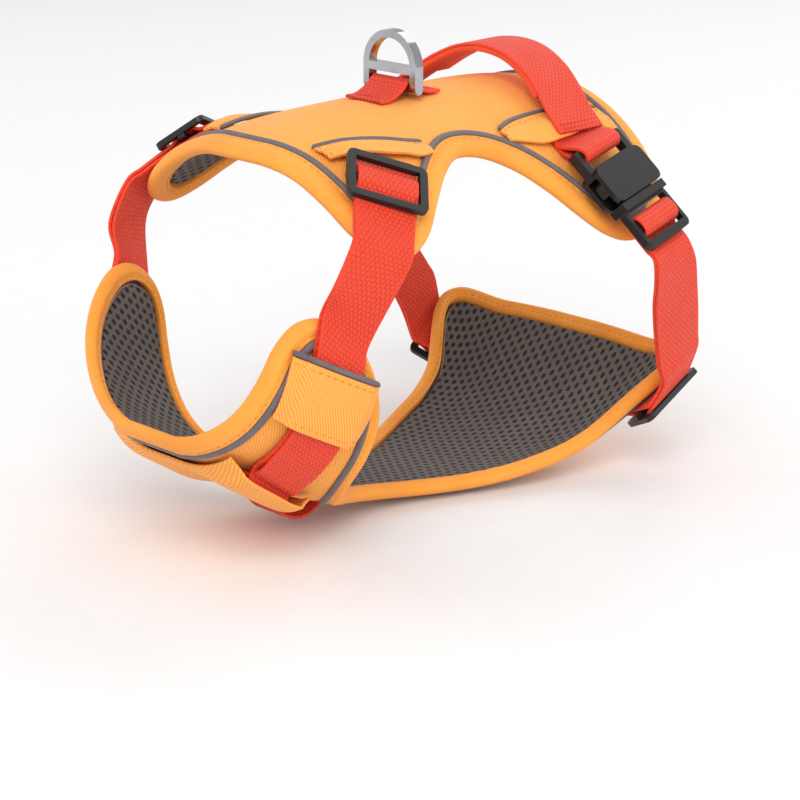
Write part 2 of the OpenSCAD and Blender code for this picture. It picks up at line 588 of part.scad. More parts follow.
back_shell();
back_foam();
back_lining();
back_binding();
back_piping();
shoulder_flap_left();
shoulder_flap_right();
girth_flap_left();
girth_flap_right();
flap_piping();
chest_shell();
chest_foam();
chest_lining();
chest_binding();
chest_piping();
keeper_left();
keeper_right();
keeper_piping();
chest_strip();
leash_loop();
shoulder_strap_left();
shoulder_strap_right();
girth_strap_left();
girth_strap_right();
shoulder_slider_left();
shoulder_slider_right();
girth_slider_left();
girth_slider_right();
chest_ring_left();
chest_ring_right();
buckle_socket_left();
buckle_socket_right();
buckle_plug_left();
buckle_plug_right();
front_prong_left();
rear_prong_left();
front_prong_right();
rear_prong_right();
buckle_tab_left();
buckle_tab_right();
handle_webbing();
handle_lining();
d_ring_tab();
d_ring();
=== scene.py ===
"""No-pull dog harness in its worn shape: padded panels, webbing, moulded fittings and their finishes."""
import logging
import math
from dataclasses import dataclass
from enum import Enum
from typing import Callable, Sequence

import bmesh
import bpy
from mathutils import Matrix, Vector


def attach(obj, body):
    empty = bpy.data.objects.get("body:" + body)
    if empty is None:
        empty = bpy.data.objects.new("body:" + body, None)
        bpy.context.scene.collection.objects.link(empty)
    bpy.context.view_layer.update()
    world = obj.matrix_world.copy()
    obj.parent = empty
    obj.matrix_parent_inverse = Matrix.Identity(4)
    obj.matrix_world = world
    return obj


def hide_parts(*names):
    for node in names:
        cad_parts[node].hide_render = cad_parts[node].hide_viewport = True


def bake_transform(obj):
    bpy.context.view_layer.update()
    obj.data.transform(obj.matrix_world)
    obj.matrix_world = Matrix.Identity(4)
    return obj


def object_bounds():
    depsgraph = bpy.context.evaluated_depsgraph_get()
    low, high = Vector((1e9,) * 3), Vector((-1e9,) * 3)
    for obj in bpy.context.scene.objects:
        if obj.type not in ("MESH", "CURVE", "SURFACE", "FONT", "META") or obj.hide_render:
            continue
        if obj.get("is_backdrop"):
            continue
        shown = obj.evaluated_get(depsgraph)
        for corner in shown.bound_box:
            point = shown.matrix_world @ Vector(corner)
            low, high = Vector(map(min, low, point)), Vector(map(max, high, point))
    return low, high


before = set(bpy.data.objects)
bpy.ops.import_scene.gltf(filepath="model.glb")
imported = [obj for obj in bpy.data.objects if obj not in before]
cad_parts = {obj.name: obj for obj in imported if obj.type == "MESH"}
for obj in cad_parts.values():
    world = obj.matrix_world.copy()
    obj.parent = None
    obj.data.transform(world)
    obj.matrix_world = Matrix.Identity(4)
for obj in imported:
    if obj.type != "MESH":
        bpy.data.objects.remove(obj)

logging.basicConfig(level=logging.INFO, format="%(message)s")
log = logging.getLogger("harness")

MM = 0.001
FLAT_ANGLE = math.radians(2)  # facets flatter than this are one face of a fitting
SHARP_ANGLE = math.radians(32)  # edges sharper than this are rounded by the mould
Place = Callable[[float, float], Vector]
Row = Sequence[float]
Link = bpy.types.NodeSocket
Colour = tuple[float, float, float, float]


class Side(Enum):
    """The wearer's left or right."""

    LEFT = 1
    RIGHT = -1

    @property
    def tail(self) -> str:
        """Ending of the names of this side's pieces."""
        return self.name.lower()

    def turn(self, point: Vector) -> Vector:
        """Point of the left side carried to this side."""
        return Vector((point.x * self.value, point.y, point.z))


# Smooth lines ---------------------------------------------------------------------------------------


def between(rows: Sequence[Row], t: float) -> list[float]:
    """Value of a table of rows at t, smooth through every row.

    Args:
        rows: Rows of numbers of equal length.
        t: Place in the table, from 0 to 1.

    Returns:
        The row of numbers at that place.
    """
    last = len(rows) - 1
    at = min(max(t, 0.0), 1.0) * last
    i = min(int(at), last - 1)
    f = at - i
    z, a, b, c = rows[max(i - 1, 0)], rows[i], rows[i + 1], rows[min(i + 2, last)]
    s = f * f
    out = []
    for k in range(len(a)):
        m, n = (b[k] - z[k]) / 2, (c[k] - a[k]) / 2
        out.append(
            a[k] * (2 * s * f - 3 * s + 1) + m * (s * f - 2 * s + f)
            + b[k] * (3 * s - 2 * s * f) + n * (s * f - s)
        )
    return out


def smooth_line(rows: Sequence[Row], steps: int) -> list[list[float]]:
    """Rows of a smooth line through a table, with a number of steps between two rows."""
    count = (len(rows) - 1) * steps
    return [between(rows, i / count) for i in range(count + 1)]


def inset(line: Sequence[Row], distance: float, reach: int) -> list[tuple[float, float]]:
    """Flat outline moved to its inner side.

    Args:
        line: Points of the outline in the flat.
        distance: How far it is moved, in millimetres.
        reach: How many points to each side give the direction at a point.

    Returns:
        Points of the moved outline.
    """
    out = []
    for i, p in enumerate(line):
        a, b = line[max(i - reach, 0)], line[min(i + reach, len(line) - 1)]
        x, y = b[0] - a[0], b[1] - a[1]
        n = math.hypot(x, y)
        out.append((p[0] - distance * y / n, p[1] + distance * x / n))
    return out


# Meshes ---------------------------------------------------------------------------------------------


def surface(
    name: str,
    across: int,
    along: int,
    place: Place,
    flat: Callable[[float, float], tuple[float, float]],
    tube: bool = False,
    ring: bool = False,
) -> bpy.types.Object:
    """Cloth surface: a flat grid carried to its place, with its flat measures as its UV map.

    Args:
        name: Name of the piece.
        across: Segments over the width.
        along: Segments over the length.
        place: Point in millimetres from the shares of width and length.
        flat: Place on the flat cloth in millimetres from the same shares.
        tube: Whether the two long edges meet.
        ring: Whether the two ends meet.

    Returns:
        The piece, with its mesh in metres.
    """
    bm = bmesh.new()
    bmesh.ops.create_grid(bm, x_segments=across, y_segments=along, size=0.5)
    uv = bm.loops.layers.uv.new("Cloth")
    for face in bm.faces:
        for loop in face.loops:
            loop[uv].uv = flat(loop.vert.co.x + 0.5, loop.vert.co.y + 0.5)
        face.smooth = True
    for vert in bm.verts:
        vert.co = place(vert.co.x + 0.5, vert.co.y + 0.5) * MM
    if tube or ring:
        bmesh.ops.remove_doubles(bm, verts=bm.verts, dist=1e-6)
        bmesh.ops.recalc_face_normals(bm, faces=bm.faces)
    return finished(bm, name)


def finished(bm: bmesh.types.BMesh, name: str) -> bpy.types.Object:
    """Object at the origin made from a mesh in the row frame."""
    mesh = bpy.data.meshes.new(name)
    bm.to_mesh(mesh)
    bm.free()
    obj = bpy.data.objects.new(name, mesh)
    bpy.context.scene.collection.objects.link(obj)
    return obj


def thicken(obj: bpy.types.Object, thick: float, round_off: float) -> bpy.types.Object:
    """Gives a cloth surface its thickness and soft edges, and applies them.

    Args:
        obj: The cloth surface.
        thick: Thickness in millimetres.
        round_off: Size of the round edge in millimetres.

    Returns:
        The same piece.
    """
    wall = obj.modifiers.new("Wall", "SOLIDIFY")
    wall.thickness = thick * MM
    wall.offset = 0
    edge = obj.modifiers.new("Soft edge", "BEVEL")
    edge.width = round_off * MM
    edge.segments = 2
    edge.limit_method = "ANGLE"
    edge.angle_limit = math.radians(60)
    graph = bpy.context.evaluated_depsgraph_get()
    made = bpy.data.meshes.new_from_object(obj.evaluated_get(graph))
    obj.modifiers.clear()
    obj.data = made
    for face in obj.data.polygons:
        face.use_smooth = True
    return obj


def moulded(node: str, radius: float, body: str, dress: bpy.types.Material) -> bpy.types.Object:
    """Rigid fitting made from its own solid, with its sharp edges rounded as a mould leaves them.

    Args:
        node: Name of the solid.
        radius: Radius of the round edges in millimetres.
        body: Body that the fitting moves with.
        dress: Its finish.

    Returns:
        The fitting.
    """
    bm = bmesh.new()
    bm.from_mesh(bpy.data.objects[node].data)
    bmesh.ops.remove_doubles(bm, verts=bm.verts, dist=2e-6)
    bmesh.ops.dissolve_limit(bm, angle_limit=FLAT_ANGLE, verts=bm.verts, edges=bm.edges)
    sharp = [e for e in bm.edges if len(e.link_faces) == 2 and e.calc_face_angle(0) > SHARP_ANGLE]
    bmesh.ops.bevel(
        bm, geom=sharp, offset=radius * MM, offset_type="OFFSET", affect="EDGES", segments=3, profile=0.5,
        material=-1, clamp_overlap=True,
    )
    bmesh.ops.triangulate(bm, faces=[f for f in bm.faces if len(f.verts) > 4])
    for face in bm.faces:
        face.smooth = True
    obj = finished(bm, node + "_moulded")
    weighted = obj.modifiers.new("Even shading", "WEIGHTED_NORMAL")
    weighted.keep_sharp = True
    obj.data.materials.append(dress)
    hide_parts(node)
    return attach(obj, body)


# Finishes -------------------------------------------------------------------------------------------


def dimmed(colour: Colour, share: float) -> Colour:
    """Colour darkened to a share of its strength."""
    return (colour[0] * share, colour[1] * share, colour[2] * share, 1.0)


class Desk:
    """Places and joins the nodes of one finish."""

    def __init__(self, name: str) -> None:
        """Starts a material with its shader.

        Args:
            name: Name of the finish.
        """
        self.material = bpy.data.materials.new(name)
        self.material.use_nodes = True
        self.tree = self.material.node_tree
        self.shader = self.tree.nodes["Principled BSDF"]

    def node(self, kind: str, **values: object) -> bpy.types.Node:
        """New node of a kind with its settings."""
        made = self.tree.nodes.new(kind)
        for key, value in values.items():
            setattr(made, key, value)
        return made

    def join(self, source: object, socket: Link) -> None:
        """Sets a socket to a number or colour, or joins it to another socket."""
        if isinstance(source, bpy.types.NodeSocket):
            self.tree.links.new(source, socket)
        else:
            socket.default_value = source

    def sum(self, kind: str, a: object, b: object = 0.0) -> Link:
        """Result of a sum on one or two numbers."""
        made = self.node("ShaderNodeMath", operation=kind)
        self.join(a, made.inputs[0])
        self.join(b, made.inputs[1])
        return made.outputs[0]

    def cloth(self) -> tuple[Link, Link]:
        """The two flat measures of the cloth in millimetres, across and along."""
        place = self.node("ShaderNodeUVMap", uv_map="Cloth")
        apart = self.node("ShaderNodeSeparateXYZ")
        self.join(place.outputs[0], apart.inputs[0])
        return apart.outputs[0], apart.outputs[1]

    def noise(self, scale: float, detail: float = 3.0, rough: float = 0.55) -> Link:
        """Soft random pattern in the object's own space; scale is per metre."""
        where = self.node("ShaderNodeTexCoord")
        made = self.node("ShaderNodeTexNoise")
        self.join(where.outputs["Object"], made.inputs["Vector"])
        made.inputs["Scale"].default_value = scale
        made.inputs["Detail"].default_value = detail
        made.inputs["Roughness"].default_value = rough
        return made.outputs[0]

    def ramp(self, source: Link, low: float, high: float) -> Link:
        """Smooth step of a number from 0 at low to 1 at high."""
        made = self.node("ShaderNodeMapRange", interpolation_type="SMOOTHSTEP")
        self.join(source, made.inputs["Value"])
        made.inputs["From Min"].default_value = low
        made.inputs["From Max"].default_value = high
        return made.outputs["Result"]

    def mix(self, share: Link, a: object, b: object) -> Link:
        """Mix of two colours."""
        made = self.node("ShaderNodeMix", data_type="RGBA")
        self.join(share, made.inputs[0])
        self.join(a, made.inputs[6])
        self.join(b, made.inputs[7])
        return made.outputs[2]

    def wave(self, source: Link, pitch: float) -> Link:
        """Cosine of a measure that repeats every pitch, from -1 to 1."""
        return self.sum("COSINE", self.sum("MULTIPLY", source, 2 * math.pi / pitch))

    def paint(self, colour: Link) -> None:
        """Gives the surface its colour."""
        self.join(colour, self.shader.inputs["Base Color"])

    def rough(self, low: float, high: float, source: Link) -> None:
        """Roughness between two values, led by a number from 0 to 1."""
        span = self.sum("MULTIPLY", source, high - low)
        self.join(self.sum("ADD", span, low), self.shader.inputs["Roughness"])

    def relief(self, height: Link, depth: float) -> None:
        """Bump of a depth in millimetres from a height between 0 and 1."""
        bump = self.node("ShaderNodeBump")
        bump.inputs["Distance"].default_value = depth * MM
        bump.inputs["Strength"].default_value = 1.0
        self.join(height, bump.inputs["Height"])
        self.join(bump.outputs[0], self.shader.inputs["Normal"])

    def sheen(self, weight: float, rough: float = 0.5) -> None:
        """Soft sheen of textile fibres."""
        self.shader.inputs["Sheen Weight"].default_value = weight
        self.shader.inputs["Sheen Roughness"].default_value = rough



@dataclass(frozen=True)
class Twill:
    """Ribbed panel cloth: slanting cords of yarn, slightly uneven in tone."""

    name: str
    base: Colour
    shade: Colour
    pitch: float = 1.25
    slant: float = 62.0
    depth: float = 0.16

    def make(self) -> bpy.types.Material:
        """Builds the finish."""
        desk = Desk(self.name)
        u, v = desk.cloth()
        turn = math.radians(self.slant)
        cosine, sine = math.cos(turn), math.sin(turn)
        cross = desk.sum("ADD", desk.sum("MULTIPLY", u, cosine), desk.sum("MULTIPLY", v, sine))
        down = desk.sum("SUBTRACT", desk.sum("MULTIPLY", v, cosine), desk.sum("MULTIPLY", u, sine))
        cord = desk.ramp(desk.wave(cross, self.pitch), -1.0, 0.7)
        yarn = desk.ramp(desk.wave(down, 0.62), -1.0, 1.0)
        body = desk.sum("MULTIPLY", cord, desk.sum("ADD", desk.sum("MULTIPLY", yarn, 0.3), 0.7))
        patch = desk.noise(38.0, 4.0)
        tone = desk.sum("ADD", desk.sum("MULTIPLY", body, 0.72), desk.sum("MULTIPLY", patch, 0.5))
        desk.paint(desk.mix(desk.ramp(tone, 0.12, 0.95), self.shade, self.base))
        desk.rough(0.72, 0.9, patch)
        desk.relief(body, self.depth)
        desk.sheen(0.1)
        return desk.material


@dataclass(frozen=True)
class Tape:
    """Smooth knitted binding tape with a fine cross grain and stretched folds at the seam."""

    name: str
    base: Colour
    shade: Colour

    def make(self) -> bpy.types.Material:
        """Builds the finish."""
        desk = Desk(self.name)
        u, v = desk.cloth()
        grain = desk.ramp(desk.wave(v, 0.7), -1.0, 1.0)
        line = desk.ramp(desk.wave(u, 0.55), -1.0, 1.0)
        weave = desk.sum("ADD", desk.sum("MULTIPLY", grain, 0.55), desk.sum("MULTIPLY", line, 0.45))
        fold = desk.noise(210.0, 3.0)
        patch = desk.noise(30.0, 3.0)
        tone = desk.sum("ADD", desk.sum("MULTIPLY", weave, 0.3), desk.sum("MULTIPLY", patch, 0.9))
        desk.paint(desk.mix(desk.ramp(tone, 0.2, 0.85), self.shade, self.base))
        desk.rough(0.66, 0.86, patch)
        height = desk.sum("ADD", desk.sum("MULTIPLY", weave, 0.22), desk.sum("MULTIPLY", fold, 0.9))
        desk.relief(height, 0.35)
        desk.sheen(0.1)
        return desk.material


@dataclass(frozen=True)
class Webbing:
    """Woven strap: rows of raised yarns set half a pitch apart, with painted shade in the small gaps between
    them.
    """

    name: str
    base: Colour
    # gap: darker colour painted as the shade in the gaps between the yarns
    gap: Colour
    column: float = 2.0
    row: float = 1.9
    depth: float = 0.5
    width: float = 25.0

    def make(self) -> bpy.types.Material:
        """Builds the finish."""
        desk = Desk(self.name)
        u, v = desk.cloth()
        rows = desk.sum("DIVIDE", v, self.row)
        odd = desk.sum("MODULO", desk.sum("FLOOR", rows), 2.0)
        shifted = desk.sum("ADD", desk.sum("DIVIDE", u, self.column), desk.sum("MULTIPLY", odd, 0.5))
        du = desk.sum("SUBTRACT", desk.sum("FRACT", shifted), 0.5)
        dv = desk.sum("SUBTRACT", desk.sum("FRACT", rows), 0.5)
        high_u = desk.sum("COSINE", desk.sum("MULTIPLY", du, math.pi * 0.96))
        high_v = desk.sum("COSINE", desk.sum("MULTIPLY", dv, math.pi * 0.96))
        yarn = desk.sum("MULTIPLY", high_u, desk.sum("SQRT", desk.sum("MAXIMUM", high_v, 0.0)))
        twist = desk.ramp(desk.wave(desk.sum("ADD", u, v), 0.5), -1.0, 1.0)
        patch = desk.noise(60.0, 4.0)
        near, far = desk.ramp(u, 0.6, 1.6), desk.ramp(desk.sum("SUBTRACT", self.width, u), 0.6, 1.6)
        selvedge = desk.sum("SUBTRACT", 1.0, desk.sum("MULTIPLY", near, far))
        # Painted shade: where the yarn is low the colour turns to the gap colour; the selvedges keep the
        # yarn colour.
        share = desk.sum("MAXIMUM", desk.ramp(yarn, 0.0, 0.42), selvedge)
        lit = desk.mix(desk.sum("MULTIPLY", patch, 0.5), self.base, dimmed(self.base, 0.8))
        desk.paint(desk.mix(share, self.gap, lit))
        desk.rough(0.5, 0.72, patch)
        height = desk.sum("ADD", desk.sum("MULTIPLY", yarn, 0.85), desk.sum("MULTIPLY", twist, 0.12))
        desk.relief(height, self.depth)
        desk.sheen(0.06)
        return desk.material


@dataclass(frozen=True)
class SpacerMesh:
    """Airy lining: a knit with rows of oval holes set half a pitch apart, with painted shade in the holes.
    """

    name: str
    strand: Colour
    # hole: near-black colour painted as the shade inside the holes
    hole: Colour
    column: float = 3.3
    row: float = 4.8

    def make(self) -> bpy.types.Material:
        """Builds the finish."""
        desk = Desk(self.name)
        u, v = desk.cloth()
        cols = desk.sum("DIVIDE", u, self.column)
        odd = desk.sum("MODULO", desk.sum("FLOOR", cols), 2.0)
        shifted = desk.sum("ADD", desk.sum("DIVIDE", v, self.row), desk.sum("MULTIPLY", odd, 0.5))
        du = desk.sum("MULTIPLY", desk.sum("SUBTRACT", desk.sum("FRACT", cols), 0.5), 2.0)
        dv = desk.sum("MULTIPLY", desk.sum("SUBTRACT", desk.sum("FRACT", shifted), 0.5), 2.0)
        far = desk.sum("SQRT", desk.sum("ADD", desk.sum("MULTIPLY", du, du), desk.sum("MULTIPLY", dv, dv)))
        solid = desk.ramp(far, 0.42, 0.74)
        knit = desk.ramp(desk.wave(desk.sum("ADD", v, desk.sum("MULTIPLY", u, 0.6)), 0.55), -1.0, 1.0)
        patch = desk.noise(45.0, 3.0)
        tone = desk.sum("ADD", desk.sum("MULTIPLY", knit, 0.35), desk.sum("MULTIPLY", patch, 0.65))
        strands = desk.mix(desk.ramp(tone, 0.15, 0.85), dimmed(self.strand, 0.55), self.strand)
        # Painted shade: the holes take the near-black colour.
        desk.paint(desk.mix(solid, self.hole, strands))
        desk.rough(0.75, 0.95, patch)
        height = desk.sum("ADD", desk.sum("MULTIPLY", solid, 0.85), desk.sum("MULTIPLY", knit, 0.12))
        desk.relief(height, 0.9)
        desk.sheen(0.1)
        return desk.material


@dataclass(frozen=True)
class Coating:
    """Soft reflective coat over a woven piping tape."""

    name: str
    base: Colour
    shade: Colour

    def make(self) -> bpy.types.Material:
        """Builds the finish."""
        desk = Desk(self.name)
        _, v = desk.cloth()
        grain = desk.ramp(desk.wave(v, 0.6), -1.0, 1.0)
        patch = desk.noise(120.0, 4.0)
        desk.paint(desk.mix(patch, self.shade, self.base))
        desk.rough(0.42, 0.62, patch)
        height = desk.sum("ADD", desk.sum("MULTIPLY", grain, 0.5), desk.sum("MULTIPLY", patch, 0.5))
        desk.relief(height, 0.12)
        desk.sheen(0.06)
        return desk.material


@dataclass(frozen=True)
class Moulded:
    """Moulded plastic or cast metal with a fine surface grain."""

    name: str
    base: Colour
    low: float
    high: float
    metal: float = 0.0
    depth: float = 0.03
    grain: float = 900.0
    worn: float = 0.72

    def make(self) -> bpy.types.Material:
        """Builds the finish."""
        desk = Desk(self.name)
        fine = desk.noise(self.grain, 4.0)
        wear = desk.noise(70.0, 3.0)
        desk.paint(desk.mix(desk.ramp(wear, 0.3, 0.7), dimmed(self.base, self.worn), self.base))
        desk.rough(self.low, self.high, wear)
        desk.shader.inputs["Metallic"].default_value = self.metal
        desk.relief(fine, self.depth)
        return desk.material


def srgb(red: int, green: int, blue: int) -> Colour:
    """Linear colour from 0 to 255 screen values."""

    def line(c: float) -> float:
        """Linear value of one channel."""
        return c / 12.92 if c <= 0.04045 else ((c + 0.055) / 1.055) ** 2.4

    return (line(red / 255), line(green / 255), line(blue / 255), 1.0)


class Finishes:
    """Every finish on the harness, made once."""

    def __init__(self) -> None:
        """Makes the finishes."""
        self.panel = Twill("Panel twill", srgb(255, 178, 80), srgb(240, 148, 52), depth=0.11).make()
        self.tape = Tape("Binding tape", srgb(255, 168, 62), srgb(240, 144, 42)).make()
        # The second colour of each webbing is painted shade for the gaps between its yarns.
        self.web = Webbing("Strap webbing", srgb(246, 62, 22), srgb(156, 26, 10), depth=0.4).make()
        self.loop = Webbing("Loop webbing", srgb(242, 58, 22), srgb(150, 24, 10), 1.7, 1.5, 0.4, 18.0).make()
        self.soft_web = Tape("Handle padding", srgb(246, 88, 30), srgb(222, 60, 20)).make()
        self.piping = Coating("Reflective piping", srgb(118, 110, 112), srgb(88, 82, 86)).make()
        # The spacer mesh's second colour is painted shade for its holes.
        self.mesh = SpacerMesh("Spacer mesh", srgb(112, 102, 96), srgb(14, 12, 12)).make()
        self.foam = Moulded("Padding foam", srgb(232, 226, 206), 0.85, 0.95, 0.0, 0.2, 500.0).make()
        self.plastic = Moulded("Moulded plastic", srgb(20, 20, 22), 0.32, 0.46).make()
        self.metal = Moulded("Polished ring", srgb(186, 184, 188), 0.07, 0.16, 1.0, 0.004).make()
        self.thread = Moulded("Sewing thread", srgb(240, 146, 46), 0.6, 0.8, 0.0, 0.08, 2500.0).make()
        self.red_thread = Moulded("Bar tack thread", srgb(214, 52, 24), 0.6, 0.8, 0.0, 0.08, 2500.0).make()
        self.floor = Moulded("Pale floor", srgb(240, 240, 240), 0.85, 0.9, 0.0, 0.001, 60.0, 0.99).make()


# Pads -----------------------------------------------------------------------------------------------


@dataclass(frozen=True)
class Pattern:
    """A pad drawn flat and wrapped on curved ribs, in millimetres."""

    ribs: tuple[tuple[float, ...], ...]
    sign: int
    rim: float
    edge: tuple[tuple[float, float], ...]

    def rib(self, v: float) -> list[float]:
        """Rib at v: v, y, z, lean, flat half width and bend radius."""
        rows = self.ribs
        i = 0
        while i < len(rows) - 2 and v >= rows[i + 1][0]:
            i += 1
        a, b = rows[i], rows[i + 1]
        h = b[0] - a[0]
        t = (v - a[0]) / h
        s = t * t

        def slope(j: int, k: int) -> float:
            """Slope of one column at row j."""
            p, q = rows[max(j - 1, 0)], rows[min(j + 1, len(rows) - 1)]
            return (q[k] - p[k]) / (q[0] - p[0])

        return [
            a[k] * (2 * s * t - 3 * s + 1) + slope(i, k) * h * (s * t - 2 * s + t)
            + b[k] * (3 * s - 2 * s * t) + slope(i + 1, k) * h * (s * t - s)
            for k in range(6)
        ]

    def wrap(self, u: float, v: float, h: float) -> Vector:
        """Point at pattern place u, v and height h above the middle layer.

        Args:
            u: Place across, 0 on the middle line.
            v: Place along.
            h: Height outwards.

        Returns:
            The point in millimetres.
        """
        r = self.rib(v)
        side = -1 if u < 0 else 1
        past = max(abs(u) - r[4], 0)
        turn = min(past / r[5], math.pi / 2)
        straight = max(past - r[5] * math.pi / 2, 0)
        x = min(abs(u), r[4]) + r[5] * math.sin(turn)
        rise = r[5] * (1 - math.cos(turn)) + straight
        lean = math.radians(r[3])
        up = Vector((0, math.sin(lean), math.cos(lean) * self.sign))
        out = Vector((side * math.sin(turn), 0, 0)) - up * math.cos(turn)
        return Vector((side * x, r[1], r[2])) + up * rise + out * h


BACK = Pattern(
    ((-100, -100, 60, 0, 0, 84), (-60, -60, 67, 0, 0, 80), (0, 0, 69, 0, 0, 76), (60, 60, 69, 0, 0, 74),
     (110, 110, 61, 0, 0, 74)),
    -1, 10,
    ((14, -92), (30, -89), (48, -87.5), (65, -85), (78, -78), (84, -66), (79, -52), (66, -38), (55, -25),
     (49, -13), (51, -1), (60, 11), (73, 23), (86, 35), (96, 48), (100, 62), (96, 76), (84, 86), (66, 91),
     (46, 92), (26, 92.5), (12, 93)),
)
CHEST = Pattern(
    ((-20, -146, -36, 4, 6, 38), (0, -130, -47, 6, 8, 43), (50, -86, -73, 8, 12, 50),
     (90, -48, -86, 5, 16, 60), (130, -8, -92, 2, 15, 80), (180, 42, -93, 0, 15, 75),
     (216, 76, -83, -6, 30, 34), (258, 110, -52, -5, 38, 60), (278, 126, -38, -5, 38, 60)),
    1, 7.5,
    ((14, -8.5), (32, -6.5), (51, -2.5), (71, 2.5), (86.5, 8), (99.5, 16.5), (107, 28.5), (106.5, 41),
     (98.5, 50.5), (84, 56), (67, 58), (53, 60), (40.5, 65.5), (29, 74.5), (21.5, 89), (19.5, 104),
     (22.5, 120.5), (30.5, 141), (39.5, 161), (46.5, 179), (52, 197), (58, 213), (66.5, 225), (73, 236),
     (74.5, 246.5), (69, 255.5), (59, 260), (44, 262), (28, 263), (12, 263.5)),
)


@dataclass(frozen=True)
class Seam:
    """Row of machine stitches: each is one short thread lying on the cloth."""

    length: float = 2.4
    gap: float = 1.1
    thread: float = 0.24

    def sew(self, bm: bmesh.types.BMesh, line: Sequence[Vector]) -> None:
        """Lays the stitches of one line.

        Args:
            bm: Mesh that takes them.
            line: Points of the seam in millimetres, close together.
        """
        reach = [0.0]
        for a, b in zip(line, line[1:]):
            reach.append(reach[-1] + (b - a).length)
        at, i = 0.0, 0
        while at + self.length < reach[-1]:
            ends = []
            for place in (at, at + self.length):
                while i < len(reach) - 2 and reach[i + 1] < place:
                    i += 1
                share = (place - reach[i]) / max(reach[i + 1] - reach[i], 1e-9)
                ends.append(line[i].lerp(line[i + 1], share))
            middle, way = (ends[0] + ends[1]) / 2, ends[1] - ends[0]
            turn = way.to_track_quat("X", "Z").to_matrix().to_4x4()
            size = Matrix.Diagonal((self.length / 2, self.thread, self.thread, 1))
            put = Matrix.Scale(MM, 4) @ Matrix.Translation(middle) @ turn @ size
            bmesh.ops.create_icosphere(bm, subdivisions=1, radius=1, matrix=put)
            at += self.length + self.gap

    def piece(self, name: str, lines: Sequence[Sequence[Vector]],
              dress: bpy.types.Material) -> bpy.types.Object:
        """One piece with the stitches of several lines.

        Args:
            name: Name of the piece.
            lines: The seams, in millimetres.
            dress: Finish of the thread.

        Returns:
            The piece.
        """
        bm = bmesh.new()
        for line in lines:
            self.sew(bm, line)
        for face in bm.faces:
            face.smooth = True
        obj = finished(bm, name)
        obj.data.materials.append(dress)
        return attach(obj, "harness")


